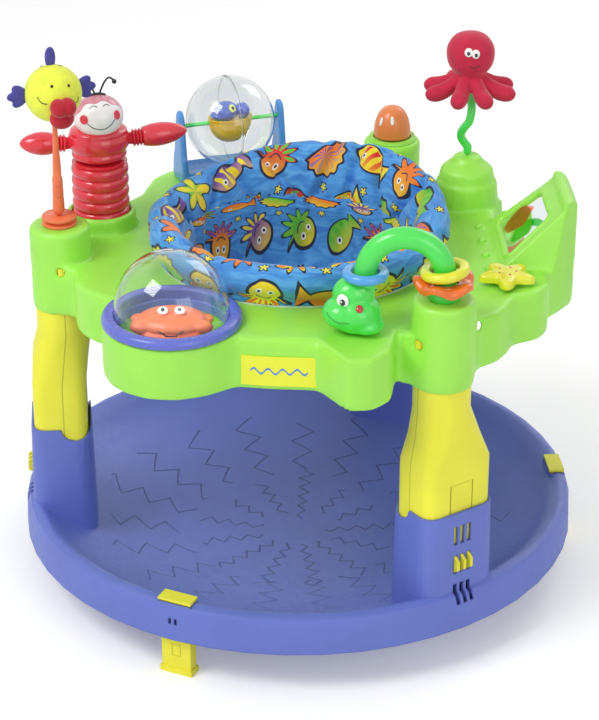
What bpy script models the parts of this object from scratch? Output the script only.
"""Baby activity centre: a rocking saucer base with stabiliser feet, three height-adjusting
legs, a toy tray and a swivel seat with its padded rim.

Metres, +Z up. The origin is on the floor under the middle of the saucer and -Y is the front.
Places round the object are given as a reach from the middle and an angle in degrees from the
front (-Y), counted towards +X.
"""

import math

import bmesh
import bpy
from mathutils import Matrix, Vector

# Saucer base
BASE_RADIUS = 0.380
RIM_LOW = 0.056
RIM_CREST = 0.108
RIM_WIDTH = 0.0265
RIM_WALL = 0.0035
BOWL_FLOOR = 0.015
BOWL_LIP_DROP = 0.0085
BOWL_CURVE = 3.0
BASE_SIDES = 48

# Leg sockets on the saucer
LEG_ANGLES = {"left": -60.0, "right": 60.0, "rear": 180.0}
SOCKET_INSET = 0.054
SOCKET_REACH = BASE_RADIUS - SOCKET_INSET
SOCKET_HALF_ALONG = 0.0560
SOCKET_HALF_OUT = 0.0404
SOCKET_WALL = 0.0035
SOCKET_TOP = 0.221
SOCKET_FLOOR = 0.0605
SOCKET_DIP = 0.017
CORNER = 0.020
SLIDE_GAP = 0.0006

# Height rows: three slots in three rows, and the latch teeth that stand in the middle row
HEIGHT_STEP = 0.042
MIDDLE_ROW = 0.147
TOOTH_PITCH = 0.0105
TOOTH_WIDTH = 0.0045
TOOTH_HEIGHT = 0.025
TOOTH_PROUD = 0.0085
SLOT_GAP = 0.0008

# Legs
LEG_FOOT = 0.125
LEG_SHOULDER = 0.285
LEG_NECK_START = 0.352
LEG_NECK_RADIUS = 0.0370
LEG_WALL = 0.0040
LATCH_TOP = 0.2605
LATCH_LOW = 0.129
LATCH_HALF_WIDTH = 0.0165
LATCH_THICKNESS = 0.0032
LATCH_SLIT = 0.0015
PEG_HALF_WIDTH = 0.0040
PEG_HALF_HEIGHT = 0.0050
PEG_HEIGHT = 0.448

# Stabiliser feet
FOOT_ANGLES = {"front": 0.0, "right": 120.0, "left": -120.0}
FOOT_INSET = 0.0175
FOOT_REACH = BASE_RADIUS - FOOT_INSET
FOOT_HALF_ALONG = 0.0208
FOOT_HALF_OUT = 0.0080
FOOT_FLARE = 0.0022
FOOT_FLARE_HEIGHT = 0.008
FOOT_TRAVEL = 0.048
FOOT_GAP = 0.0007
TAB_THICKNESS = 0.0035
TAB_OVERLAP = 0.0026
RIM_WINDOW = (0.0040, 0.0090, 0.0830)

# Tray
SKIRT_LOW = 0.388
DECK = 0.457
DECK_WALL = 0.0035
DECK_DISH = 0.004
DECK_EDGE = 0.008
TRAY_HOLE = 0.180
TRAY_SIDES = 72
CORE_RADIUS = 0.290
LOBE_BLEND = 0.012
LEG_LEAN = 0.010
POST_REACH = SOCKET_REACH - LEG_LEAN
POST_RADIUS = 0.0405
POST_TOP = 0.501
POST_ROOF = 0.0030
POST_EDGE = 0.006

# Toys: reach, angle
DOME_PLACE = (0.279, -9.3)
HEAD_PLACE = (0.262, 41.0)
HEAD_LOBE_PLACE = (0.312, 38.5)
STAR_PLACE = (0.293, 92.3)
MIRROR_ANGLE = 117.0
MOUND_PLACE = (0.285, 150.0)
BALL_PLACE = (0.272, -134.0)
BALL_ANGLE = -136.0
PUPPET_PLACE = (0.280, -81.5)

TOUCH = 0.0003
FLAT = 1.5

# Tray lobes: reach, angle, radius
DOME_LOBE = 0.0895
HEAD_LOBE = 0.046
MOUND_LOBE = 0.054
PUPPET_LOBE = 0.0555
STAR_LOBE = 0.055
STAR_LOBE_SHIFT = 1.7
FRONT_LEFT_LOBE = (0.225, -42.0, 0.086)
RIGHT_LOBE = (0.260, 76.0, 0.070)
BALL_LOBE_REACH = 0.255
BALL_LOBE = 0.078
BALL_LOBE_ANGLES = (-122.0, -142.0)
TRAY_LOBES = (
    (POST_REACH, -60.0, POST_RADIUS - 0.0005),
    (POST_REACH, 60.0, POST_RADIUS - 0.0005),
    (POST_REACH, 180.0, POST_RADIUS - 0.0005),
    FRONT_LEFT_LOBE,
    (DOME_PLACE[0], DOME_PLACE[1], DOME_LOBE),
    (HEAD_LOBE_PLACE[0], HEAD_LOBE_PLACE[1], HEAD_LOBE),
    RIGHT_LOBE,
    (STAR_PLACE[0], STAR_PLACE[1] + STAR_LOBE_SHIFT, STAR_LOBE),
    (MOUND_PLACE[0], MOUND_PLACE[1], MOUND_LOBE),
    (BALL_LOBE_REACH, BALL_LOBE_ANGLES[0], BALL_LOBE),
    (BALL_LOBE_REACH, BALL_LOBE_ANGLES[1], BALL_LOBE),
    (PUPPET_PLACE[0], PUPPET_PLACE[1], PUPPET_LOBE),
)

# Rounded rectangle of the tray under the mirror housing
WING_MIDDLE = 0.300
WING_SHIFT = -0.004
WING_HALF_OUT = 0.0660
WING_HALF_ALONG = 0.0700
WING_CORNER = 0.026

# Dome toy
BEZEL_RADIUS = 0.0885
BEZEL_HEIGHT = 0.0112
DOME_RADIUS = 0.0724
DOME_WALL = 0.0020
DOME_CENTRE = 0.476
BEZEL_SEAT = 0.4525
BEZEL_SLEEVE_LOW = 0.4405
BEZEL_SHELF = 0.0027
BEZEL_GAP = 0.0015
PIT_RADIUS = 0.0765
PIT_FLOOR = 0.431
PIT_WALL = 0.003
CRAB_HALF = (0.0525, 0.0360, 0.0130)
CRAB_HEIGHT = 0.4545
CRAB_STEM_RADIUS = 0.0060
CRAB_FLAT = 0.0015

# Arch with its beads
ARCH_RADIUS = 0.049
ARCH_TUBE = 0.0140
ARCH_CENTRE = 0.531
ARCH_FLANGE = 0.0205
HEAD_TOP = 0.5252
BLUE_RING = (0.0228, 0.0064)
YELLOW_RING = (0.0245, 0.0068)
YELLOW_LIFT = 8.0
WAVE_HOLE = 0.0172
WAVE_RADIUS = 0.0375
WAVE_HEIGHT = 0.5200

# Star button
STAR_RADIUS = 0.0375
STAR_INNER = 0.0215
STAR_HEIGHT = 0.0110
STAR_TRAVEL = 0.0040
STAR_TWIST = math.radians(-70.0)

# Mirror housing, in the (out, height) plane of MIRROR_ANGLE
HOUSING_OUT = 0.370
MIRROR_DEEP = 0.098
MIRROR_SHALLOW = 0.039
MIRROR_LOW = (HOUSING_OUT - MIRROR_DEEP, 0.462)
MIRROR_HIGH = (HOUSING_OUT - MIRROR_SHALLOW, 0.515)
MIRROR_LOW_ALONG = (-0.063, 0.057)
MIRROR_HIGH_ALONG = (-0.047, 0.040)
MIRROR_THICKNESS = 0.002
MIRROR_FLOOR = -0.0025
FRAME_LIFT = 0.0025
FRAME_FLOOR = -0.0055
HOUSING_RIDGE = 0.540
HOUSING_LOW_ALONG = (-0.086, 0.080)
HOUSING_HIGH_ALONG = (-0.065, 0.057)
BUMP_RADIUS = 0.0052
BUMP_REACH = 0.2475
BUMP_PLACES = (-0.079, -0.037, 0.011, 0.058)

# Octopus on its wavy stem
MOUND_TOP = 0.5245
STEM_RADIUS = 0.0058
STEM_SWING = 0.0100
STEM_BACK_SHARE = 0.35
OCTOPUS_NECK = 0.6250
OCTOPUS_HEIGHT = 0.0760
ARM_COUNT = 8
ARM_LENGTH = 0.041
ARM_ROOT = 0.0080
ARM_TIP = 0.0120

# Puppet on bellows
COLLAR_RADIUS = 0.0475
COLLAR_HEIGHT = 0.0225
BELLOWS_RADIUS = 0.0388
BELLOWS_NECK = 0.0345
BELLOWS_RIBS = 5
BELLOWS_TOP = 0.550
PUPPET_TURN = 38.0
PUPPET_ARM_RISE = 4.0
SHOULDER_REACH = 0.0390
SHOULDER_BALL = 0.0080

# Ball spinner
BALL_RADIUS = 0.0635
BALL_WALL = 0.0020
AXLE_HEIGHT = 0.540
AXLE_RADIUS = 0.0030
AXLE_GAP = 0.0006
UPRIGHT_ALONG = 0.0735
UPRIGHT_HALF_THICK = 0.0050
UPRIGHT_TOP = 0.563
STAND_HALF_OUT = 0.0300

# Fish on its stem
SPOOL_RADIUS = 0.0230
SPOOL_HEIGHT = 0.0125
FISH_STEM_RADIUS = 0.0078
FISH_STEM_THIN = 0.0034
FISH_CENTRE = 0.683
FISH_RADIUS = 0.0372
FISH_FACE_ANGLE = 49.0
FISH_MOUTH_DROP = 22.0

# Rear button
BUTTON_RADIUS = 0.0265
BUTTON_HEIGHT = 0.0430
BUTTON_TRAVEL = 0.0050

# Seat
SEAT_FLANGE = 0.1880
SEAT_RING_BORE = 0.1640
SEAT_RING_LOW = 0.4250
SEAT_RING_THICK = 0.0040
RUNNING_GAP = 0.0010
CUSHION_REACH = 0.2040
CUSHION_BORE = 0.1500
CUSHION_FULL = 0.0018
CUSHION_FULL_ANGLE = 19.0
CUSHION_FRONT = 0.503
CUSHION_BACK_RISE = 0.040
CUSHION_BACK_ANGLE = 172.0
BUCKET_LOW = 0.275
BUCKET_WALL = 0.0030
LEG_HOLE_RADIUS = 0.050
LEG_HOLE_ANGLE = 38.0
LEG_HOLE_HEIGHT = 0.345

# Label plate
PLATE_ANGLE = 20.5
PLATE_HALF_WIDTH = 0.0475
PLATE_LOW = 0.3945
PLATE_HIGH = 0.4345
PLATE_THICKNESS = 0.0014

COLOURS = {
    "base_blue": ((0.127, 0.168, 0.590, 1.0), 0.42),
    "leg_yellow": ((0.840, 0.800, 0.040, 1.0), 0.40),
    "tray_green": ((0.330, 0.830, 0.085, 1.0), 0.38),
    "arch_green": ((0.040, 0.760, 0.100, 1.0), 0.30),
    "bezel_purple": ((0.155, 0.125, 0.560, 1.0), 0.34),
    "clear": ((0.900, 0.930, 0.950, 1.0), 0.05),
    "crab_orange": ((0.900, 0.170, 0.065, 1.0), 0.42),
    "bead_orange": ((0.900, 0.180, 0.020, 1.0), 0.30),
    "bead_yellow": ((0.950, 0.840, 0.020, 1.0), 0.30),
    "bead_blue": ((0.090, 0.370, 0.880, 1.0), 0.30),
    "stand_blue": ((0.075, 0.270, 0.660, 1.0), 0.34),
    "puppet_red": ((0.780, 0.022, 0.040, 1.0), 0.26),
    "puppet_white": ((0.900, 0.880, 0.890, 1.0), 0.30),
    "black": ((0.020, 0.020, 0.022, 1.0), 0.40),
    "plush_crimson": ((0.520, 0.012, 0.045, 1.0), 0.90),
    "plush_yellow": ((0.800, 0.800, 0.060, 1.0), 0.90),
    "plush_purple": ((0.090, 0.070, 0.420, 1.0), 0.90),
    "fabric_blue": ((0.045, 0.235, 0.640, 1.0), 0.85),
    "ring_white": ((0.800, 0.800, 0.790, 1.0), 0.45),
    "mirror_silver": ((0.880, 0.880, 0.890, 1.0), 0.06),
    "spring_steel": ((0.500, 0.500, 0.510, 1.0), 0.35),
}


def start_clean():
    for item in list(bpy.data.objects):
        bpy.data.objects.remove(item, do_unlink=True)


def finish_of(name):
    found = bpy.data.materials.get(name)
    if found:
        return found
    colour, roughness = COLOURS[name]
    made = bpy.data.materials.new(name)
    made.use_nodes = True
    shader = made.node_tree.nodes["Principled BSDF"]
    shader.inputs["Base Color"].default_value = colour
    shader.inputs["Roughness"].default_value = roughness
    shader.inputs["Metallic"].default_value = 1.0 if name in ("mirror_silver", "spring_steel") else 0.0
    return made


def out_from(angle):
    turn = math.radians(angle)
    return Vector((math.sin(turn), -math.cos(turn), 0.0))


def along_from(angle):
    turn = math.radians(angle)
    return Vector((math.cos(turn), math.sin(turn), 0.0))


def spot(reach, angle, height=0.0):
    """A point at a reach from the middle, an angle from the front and a height."""
    return out_from(angle) * reach + Vector((0.0, 0.0, height))


def local(angle, out, along, height):
    """A point in the upright frame that faces outwards at an angle."""
    return out_from(angle) * out + along_from(angle) * along + Vector((0.0, 0.0, height))


def make(name, shape, finish, smooth=35.0):
    """Link a bmesh as a named object with its outward faces and its material."""
    bmesh.ops.recalc_face_normals(shape, faces=shape.faces)
    mesh = bpy.data.meshes.new(name)
    shape.to_mesh(mesh)
    shape.free()
    made = bpy.data.objects.new(name, mesh)
    bpy.context.scene.collection.objects.link(made)
    mesh.materials.append(finish_of(finish))
    if smooth:
        mesh.shade_smooth()
        mesh.set_sharp_from_angle(angle=math.radians(smooth))
    return made


def loft(rings, closed=False):
    """Skin rings of points of one count. Open stacks are capped, closed ones meet their start."""
    shape = bmesh.new()
    rows = [[shape.verts.new(point) for point in ring] for ring in rings]
    pairs = list(zip(rows, rows[1:]))
    if closed:
        pairs.append((rows[-1], rows[0]))
    for lower, upper in pairs:
        count = len(lower)
        for index in range(count):
            following = (index + 1) % count
            shape.faces.new((lower[index], lower[following], upper[following], upper[index]))
    if not closed:
        shape.faces.new(list(reversed(rows[0])))
        shape.faces.new(rows[-1])
    return shape


def circle(centre, radius, sides, axis=Vector((0.0, 0.0, 1.0)), start=Vector((1.0, 0.0, 0.0))):
    """Points of a circle about an axis, beginning near the start direction."""
    first = (start - axis * start.dot(axis)).normalized()
    second = axis.cross(first)
    points = []
    for index in range(sides):
        turn = 2.0 * math.pi * index / sides
        points.append(centre + radius * (first * math.cos(turn) + second * math.sin(turn)))
    return points


def turned(profile, centre, sides, axis=Vector((0.0, 0.0, 1.0)), closed=False):
    """Turn (radius, distance along the axis) pairs about an axis. A radius of 0 is a pole."""
    start = Vector((1.0, 0.0, 0.0)) if abs(axis.x) < 0.9 else Vector((0.0, 1.0, 0.0))
    shape = bmesh.new()
    rows = []
    for radius, distance in profile:
        middle = centre + axis * distance
        if radius <= 0.0:
            rows.append([shape.verts.new(middle)])
        else:
            rows.append([shape.verts.new(point) for point in circle(middle, radius, sides, axis, start)])
    pairs = list(zip(rows, rows[1:]))
    if closed:
        pairs.append((rows[-1], rows[0]))
    for lower, upper in pairs:
        for index in range(sides):
            following = (index + 1) % sides
            corners = [lower[index % len(lower)], lower[following % len(lower)]]
            corners += [upper[following % len(upper)], upper[index % len(upper)]]
            unique = list(dict.fromkeys(corners))
            if len(unique) > 2:
                shape.faces.new(unique)
    if not closed:
        if len(rows[0]) > 1:
            shape.faces.new(list(reversed(rows[0])))
        if len(rows[-1]) > 1:
            shape.faces.new(rows[-1])
    return shape


def box_ring(angle, reach, half_out, half_along, corner, height, roundness=0.0):
    """Sixteen points of a rounded rectangle in the upright frame. Roundness 1 makes it a circle."""
    points = []
    radius = (half_out + half_along) / 2.0
    for quarter in range(4):
        middle = math.radians(45.0 + 90.0 * quarter)
        centre_out = math.copysign(half_out - corner, math.cos(middle))
        centre_along = math.copysign(half_along - corner, math.sin(middle))
        for step in range(4):
            turn = math.radians(90.0 * quarter + 30.0 * step)
            even = math.radians(90.0 * quarter + 11.25 + 22.5 * step)
            out = centre_out + corner * math.cos(turn)
            along = centre_along + corner * math.sin(turn)
            out += (radius * math.cos(even) - out) * roundness
            along += (radius * math.sin(even) - along) * roundness
            points.append(local(angle, reach + out, along, height))
    return points


def head_ring(angle, reach, half_out, half_along, height, sides, shift):
    points = []
    for index in range(sides):
        turn = 2.0 * math.pi * (index + 0.5) / sides
        out = reach + half_out * math.cos(turn)
        points.append(local(angle, out, shift + half_along * math.sin(turn), height))
    return points


def blob(centre, axes, halves, sides, rows, taper=0.0, square=2.0):
    """A superellipsoid on three axes. Taper narrows it towards its third axis."""
    shape = bmesh.new()
    first, second, third = axes
    bottom = shape.verts.new(centre - third * halves[2])
    grid = []
    for row in range(1, rows):
        lift = -math.pi / 2.0 + math.pi * row / rows
        height = math.sin(lift)
        width = math.cos(lift) ** (2.0 / square)
        narrow = 1.0 - taper * height
        ring = []
        for index in range(sides):
            turn = 2.0 * math.pi * index / sides
            across = first * math.cos(turn) * halves[0] + second * math.sin(turn) * halves[1]
            ring.append(shape.verts.new(centre + across * width * narrow + third * halves[2] * height))
        grid.append(ring)
    top = shape.verts.new(centre + third * halves[2])
    for index in range(sides):
        following = (index + 1) % sides
        shape.faces.new((bottom, grid[0][following], grid[0][index]))
        shape.faces.new((top, grid[-1][index], grid[-1][following]))
        for lower, upper in zip(grid, grid[1:]):
            shape.faces.new((lower[index], lower[following], upper[following], upper[index]))
    return shape


def upright_axes(angle, tip=0.0):
    """Along, out and up axes at an angle, the last two tipped outwards by tip degrees."""
    along = along_from(angle)
    turn = Matrix.Rotation(math.radians(tip), 3, along)
    return along, turn @ out_from(angle), turn @ Vector((0.0, 0.0, 1.0))


def block(angle, out, along, height):
    """A box in the upright frame from (low, high) pairs."""
    rings = []
    for level in height:
        corners = ((out[0], along[0]), (out[1], along[0]), (out[1], along[1]), (out[0], along[1]))
        rings.append([local(angle, reach, shift, level) for reach, shift in corners])
    return loft(rings)


def swept(points, radii, sides, start=Vector((0.0, 0.0, 1.0))):
    """A round tube through points, with a radius at each, kept from twisting."""
    rings = []
    previous = start
    for index, point in enumerate(points):
        before = points[max(index - 1, 0)]
        after = points[min(index + 1, len(points) - 1)]
        axis = (after - before).normalized()
        first = (previous - axis * previous.dot(axis)).normalized()
        previous = first
        rings.append(circle(point, radii[index], sides, axis, first))
    return loft(rings)


def combine(target, shape, operation):
    """Join a shape to an object, or cut it out, and keep the result as the object's mesh."""
    tool = make(target.name + "_tool", shape, "base_blue", smooth=0.0)
    tool.hide_render = True
    tool.display_type = "WIRE"
    step = target.modifiers.new("Boolean", "BOOLEAN")
    step.operation = operation
    step.solver = "EXACT"
    step.object = tool
    view = bpy.context.evaluated_depsgraph_get()
    result = bpy.data.meshes.new_from_object(target.evaluated_get(view))
    target.modifiers.remove(step)
    old = target.data
    target.data = result
    result.name = old.name
    bpy.data.meshes.remove(old)
    bpy.data.objects.remove(tool, do_unlink=True)


def common(shape, other):
    """The part of a shape that lies inside another one."""
    holder = make("common", shape, "base_blue", smooth=0.0)
    combine(holder, other, "INTERSECT")
    result = bmesh.new()
    result.from_mesh(holder.data)
    bpy.data.objects.remove(holder, do_unlink=True)
    return result


def join(target, shape):
    combine(target, shape, "UNION")


def cut(target, shape):
    combine(target, shape, "DIFFERENCE")


def soften(target, smooth=35.0):
    """Weld the Boolean's slivers and shade again."""
    shape = bmesh.new()
    shape.from_mesh(target.data)
    bmesh.ops.remove_doubles(shape, verts=shape.verts, dist=0.00002)
    bmesh.ops.dissolve_degenerate(shape, edges=shape.edges, dist=0.00002)
    bmesh.ops.dissolve_limit(shape, angle_limit=math.radians(FLAT), verts=shape.verts, edges=shape.edges)
    shape.to_mesh(target.data)
    shape.free()
    target.data.shade_smooth()
    target.data.set_sharp_from_angle(angle=math.radians(smooth))


def body(name, place):
    """An empty on a moving body's joint axis."""
    made = bpy.data.objects.new(name, None)
    made.location = place
    made.empty_display_size = 0.02
    bpy.context.scene.collection.objects.link(made)
    return made


def hang(item, holder):
    """Put an object's origin on its body's joint and hang it there."""
    item.data.transform(Matrix.Translation(-holder.location))
    item.parent = holder


# Saucer base

def bowl_height(reach):
    """Height of the bowl's inner surface: flat in the middle, steeper towards the rim."""
    lip = BASE_RADIUS - RIM_WIDTH - BOWL_LIP_DROP
    return BOWL_FLOOR + (RIM_CREST - 0.0155 - BOWL_FLOOR) * (reach / lip) ** BOWL_CURVE


def saucer_profile():
    lip = BASE_RADIUS - RIM_WIDTH
    reaches = [lip - BOWL_LIP_DROP - step for step in (0.0, 0.032, 0.090, 0.190)]
    top = [(BASE_RADIUS, RIM_LOW), (BASE_RADIUS - 0.0015, RIM_CREST - 0.014)]
    top += [(BASE_RADIUS - 0.0055, RIM_CREST - 0.004), (BASE_RADIUS - 0.013, RIM_CREST)]
    top += [(BASE_RADIUS - 0.021, RIM_CREST - 0.0015)]
    top += [(reach, bowl_height(reach)) for reach in reaches]
    under = [(reach, bowl_height(reach) - RIM_WALL) for reach in reversed(reaches)]
    under += [(lip + 0.004, RIM_CREST - RIM_WALL - 0.002),
              (BASE_RADIUS - 0.0015 - RIM_WALL, RIM_CREST - 0.012)]
    under += [(BASE_RADIUS - RIM_WALL, RIM_LOW)]
    return top, under


def build_saucer():
    top, under = saucer_profile()
    profile = top + [(0.0, BOWL_FLOOR), (0.0, BOWL_FLOOR - RIM_WALL)] + under
    middle = Vector((0.0, 0.0, 0.0))
    saucer = make("base_saucer", turned(profile, middle, BASE_SIDES, closed=True), "base_blue")
    for angle in LEG_ANGLES.values():
        join(saucer, socket_tower(angle))
    for angle in LEG_ANGLES.values():
        cut(saucer, socket_room(angle))
        cut(saucer, socket_dip(angle))
        for row in (-1, 0, 1):
            for column in (-1, 0, 1):
                cut(saucer, slot(angle, row, column))
    for angle in FOOT_ANGLES.values():
        join(saucer, foot_sleeve(angle))
        cut(saucer, foot_slot(angle))
        for along in (-RIM_WINDOW[0], RIM_WINDOW[0]):
            cut(saucer, rim_window(angle, along))
    soften(saucer)
    return saucer


def socket_tower(angle):
    low = SOCKET_FLOOR - SOCKET_WALL
    rings = []
    for height, grow in ((low, 0.004), (RIM_CREST, 0.002), (SOCKET_TOP, 0.0)):
        rings.append(box_ring(angle, SOCKET_REACH, SOCKET_HALF_OUT + grow, SOCKET_HALF_ALONG + grow,
                              CORNER + grow, height))
    return loft(rings)


def socket_room(angle):
    half_out = SOCKET_HALF_OUT - SOCKET_WALL
    half_along = SOCKET_HALF_ALONG - SOCKET_WALL
    corner = CORNER - SOCKET_WALL
    return loft([box_ring(angle, SOCKET_REACH, half_out, half_along, corner, height)
                 for height in (SOCKET_FLOOR, SOCKET_TOP + 0.02)])


def socket_dip(angle):
    """The scooped top edge of the socket's two side walls."""
    middle = SOCKET_REACH - SOCKET_HALF_OUT / 2.0
    width = SOCKET_HALF_OUT / 2.0
    rings = []
    for along in (-SOCKET_HALF_ALONG - 0.02, SOCKET_HALF_ALONG + 0.02):
        ring = []
        for index in range(12):
            turn = 2.0 * math.pi * index / 12
            ring.append(local(angle, middle + width * math.cos(turn), along,
                              SOCKET_TOP + SOCKET_DIP * math.sin(turn)))
        rings.append(ring)
    return loft(rings)


def slot(angle, row, column):
    height = MIDDLE_ROW + row * HEIGHT_STEP
    along = column * TOOTH_PITCH
    outside = SOCKET_REACH + SOCKET_HALF_OUT
    half_width = TOOTH_WIDTH / 2.0 + SLOT_GAP
    half_height = TOOTH_HEIGHT / 2.0 + SLOT_GAP
    return block(angle, (outside - 2.0 * SOCKET_WALL, outside + 0.012),
                 (along - half_width, along + half_width),
                 (height - half_height, height + half_height))


def foot_sleeve(angle):
    """The guide moulded under the rim round each stabiliser foot."""
    wall = 0.0022
    low = FOOT_TRAVEL + FOOT_FLARE_HEIGHT + 0.004
    out = FOOT_HALF_OUT + FOOT_GAP + wall
    along = FOOT_HALF_ALONG + FOOT_GAP + wall
    return block(angle, (FOOT_REACH - out, FOOT_REACH + out), (-along, along), (low, RIM_CREST - 0.0020))


def rim_window(angle, along):
    """One of the pair of small windows in the rim's outer wall that show the foot."""
    width = RIM_WINDOW[0] / 2.0
    height = RIM_WINDOW[1] / 2.0
    return block(angle, (FOOT_REACH + FOOT_HALF_OUT, BASE_RADIUS + 0.01), (along - width, along + width),
                 (RIM_WINDOW[2] - height, RIM_WINDOW[2] + height))


def foot_slot(angle):
    out = FOOT_HALF_OUT + FOOT_GAP
    along = FOOT_HALF_ALONG + FOOT_GAP
    span = (RIM_LOW - 0.01, RIM_CREST + 0.01)
    return block(angle, (FOOT_REACH - out, FOOT_REACH + out), (-along, along), span)


def build_foot(side, angle):
    holder = body("stabiliser_" + side, spot(FOOT_REACH, angle, 0.0))
    tab_low = RIM_CREST + TOUCH
    tab_high = tab_low + TAB_THICKNESS
    flare_out = FOOT_HALF_OUT + FOOT_FLARE
    flare_along = FOOT_HALF_ALONG + FOOT_FLARE
    foot = make("foot_" + side, block(angle, (FOOT_REACH - FOOT_HALF_OUT, FOOT_REACH + FOOT_HALF_OUT),
                                      (-FOOT_HALF_ALONG, FOOT_HALF_ALONG),
                                      (FOOT_FLARE_HEIGHT / 2.0, tab_low + TAB_THICKNESS / 2.0)), "leg_yellow")
    join(foot, block(angle, (FOOT_REACH - flare_out, FOOT_REACH + flare_out),
                     (-flare_along, flare_along), (0.0, FOOT_FLARE_HEIGHT)))
    tab_out = FOOT_HALF_OUT + TAB_OVERLAP
    tab_along = FOOT_HALF_ALONG + TAB_OVERLAP
    join(foot, block(angle, (FOOT_REACH - tab_out, FOOT_REACH + tab_out),
                     (-tab_along, tab_along), (tab_low, tab_high)))
    window = 0.0065
    cut(foot, block(angle, (FOOT_REACH + FOOT_HALF_OUT - 0.0012, FOOT_REACH + flare_out + 0.01),
                    (-window, window), (FOOT_TRAVEL - 0.022, FOOT_TRAVEL - 0.004)))
    join(foot, block(angle, (FOOT_REACH, FOOT_REACH + FOOT_HALF_OUT - 0.0003),
                     (-window + 0.0012, window - 0.0012), (FOOT_TRAVEL - 0.0208, FOOT_TRAVEL - 0.0052)))
    cut(foot, block(angle, (FOOT_REACH - flare_out - 0.01, FOOT_REACH + FOOT_HALF_OUT - 0.0045),
                    (-FOOT_HALF_ALONG + 0.004, FOOT_HALF_ALONG - 0.004),
                    (FOOT_FLARE_HEIGHT + 0.004, RIM_CREST - 0.008)))
    soften(foot)
    hang(foot, holder)


# Legs and their latches

def leg_rings(angle, wall):
    """Rings up a leg: a box in its socket, then a shoulder, then a round neck. Wall draws them in."""
    low_out = SOCKET_HALF_OUT - SOCKET_WALL - SLIDE_GAP - wall
    low_along = SOCKET_HALF_ALONG - SOCKET_WALL - SLIDE_GAP - wall
    corner = CORNER - SOCKET_WALL - SLIDE_GAP - wall
    neck = LEG_NECK_RADIUS - wall
    blend = (LEG_SHOULDER + LEG_NECK_START) / 2.0
    mid_reach = (SOCKET_REACH * 2.0 + POST_REACH) / 3.0
    mid_out = (low_out + neck) / 2.0
    mid_along = low_along * 0.45 + neck * 0.55
    start = LEG_FOOT - 0.01 if wall else LEG_FOOT
    end = POST_TOP - POST_ROOF - 0.002 - wall
    return [box_ring(angle, SOCKET_REACH, low_out, low_along, corner, start),
            box_ring(angle, SOCKET_REACH, low_out, low_along, corner, LEG_SHOULDER),
            box_ring(angle, mid_reach, mid_out, mid_along, corner * 1.3, blend, 0.35),
            box_ring(angle, POST_REACH, neck, neck, neck * 0.5, LEG_NECK_START, 1.0),
            box_ring(angle, POST_REACH, neck, neck, neck * 0.5, end, 1.0)]


def latch_face():
    return SOCKET_REACH + SOCKET_HALF_OUT - SOCKET_WALL - SLIDE_GAP


def build_leg(side, angle):
    leg = make("leg_" + side, loft(leg_rings(angle, 0.0)), "leg_yellow")
    cut(leg, loft(leg_rings(angle, LEG_WALL)))
    face = latch_face()
    slit = LATCH_HALF_WIDTH + LATCH_SLIT
    cut(leg, block(angle, (face - LEG_WALL - 0.012, face + 0.01), (-slit, slit),
                   (LEG_FOOT - 0.01, LATCH_TOP + TOUCH)))
    reach = POST_RADIUS + 0.0010
    join(leg, block(angle, (POST_REACH - PEG_HALF_WIDTH, POST_REACH + PEG_HALF_WIDTH), (-reach, reach),
                    (PEG_HEIGHT - PEG_HALF_HEIGHT, PEG_HEIGHT + PEG_HALF_HEIGHT)))
    soften(leg)
    return leg


def build_latch(side, angle):
    """The sprung tongue in the leg's outer face, with the three teeth that hold the height."""
    face = latch_face()
    inner = face - LATCH_THICKNESS
    holder = body("latch_" + side, spot(face - LATCH_THICKNESS / 2.0, angle, LATCH_TOP))
    tongue = make("height_latch_" + side,
                  block(angle, (inner, face), (-LATCH_HALF_WIDTH, LATCH_HALF_WIDTH), (LATCH_LOW, LATCH_TOP)),
                  "leg_yellow")
    proud = SOCKET_REACH + SOCKET_HALF_OUT + TOOTH_PROUD
    for column in (-1, 0, 1):
        along = column * TOOTH_PITCH
        rings = []
        for height, depth in ((-1.0, 0.25), (-0.5, 0.95), (0.5, 0.95), (1.0, 0.25)):
            level = MIDDLE_ROW + height * TOOTH_HEIGHT / 2.0
            tip = face + (proud - face) * depth
            corners = ((inner + 0.001, -1), (tip, -1), (tip, 1), (inner + 0.001, 1))
            rings.append([local(angle, out, along + sign * TOOTH_WIDTH / 2.0, level) for out, sign in corners])
        join(tongue, loft(rings))
    soften(tongue)
    hang(tongue, holder)


# Tray

def wing_distance(x, y):
    """Signed distance to the rounded rectangle under the mirror housing."""
    place = Vector((x, y, 0.0))
    out = abs(place.dot(out_from(MIRROR_ANGLE)) - WING_MIDDLE) - WING_HALF_OUT + WING_CORNER
    along = abs(place.dot(along_from(MIRROR_ANGLE)) - WING_SHIFT) - WING_HALF_ALONG + WING_CORNER
    return math.hypot(max(out, 0.0), max(along, 0.0)) + min(max(out, along), 0.0) - WING_CORNER


def tray_distance(x, y):
    """Signed distance to the tray's plan: its round core, lobes and wing, blended where they meet."""
    distance = math.hypot(x, y) - CORE_RADIUS
    others = [wing_distance(x, y)]
    for reach, angle, radius in TRAY_LOBES:
        centre = spot(reach, angle)
        others.append(math.hypot(x - centre.x, y - centre.y) - radius)
    for other in others:
        mix = max(LOBE_BLEND - abs(distance - other), 0.0) / LOBE_BLEND
        distance = min(distance, other) - mix * mix * LOBE_BLEND / 4.0
    return distance


def tray_reach(angle, inset):
    """The farthest reach at an angle that lies inside the tray's plan by an inset."""
    direction = out_from(angle)
    outside = BASE_RADIUS + 0.03
    step = 0.004
    reach = outside
    while tray_distance(direction.x * reach, direction.y * reach) > -inset:
        reach -= step
    low, high = reach, reach + step
    for _ in range(18):
        middle = (low + high) / 2.0
        if tray_distance(direction.x * middle, direction.y * middle) > -inset:
            high = middle
        else:
            low = middle
    return low


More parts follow.
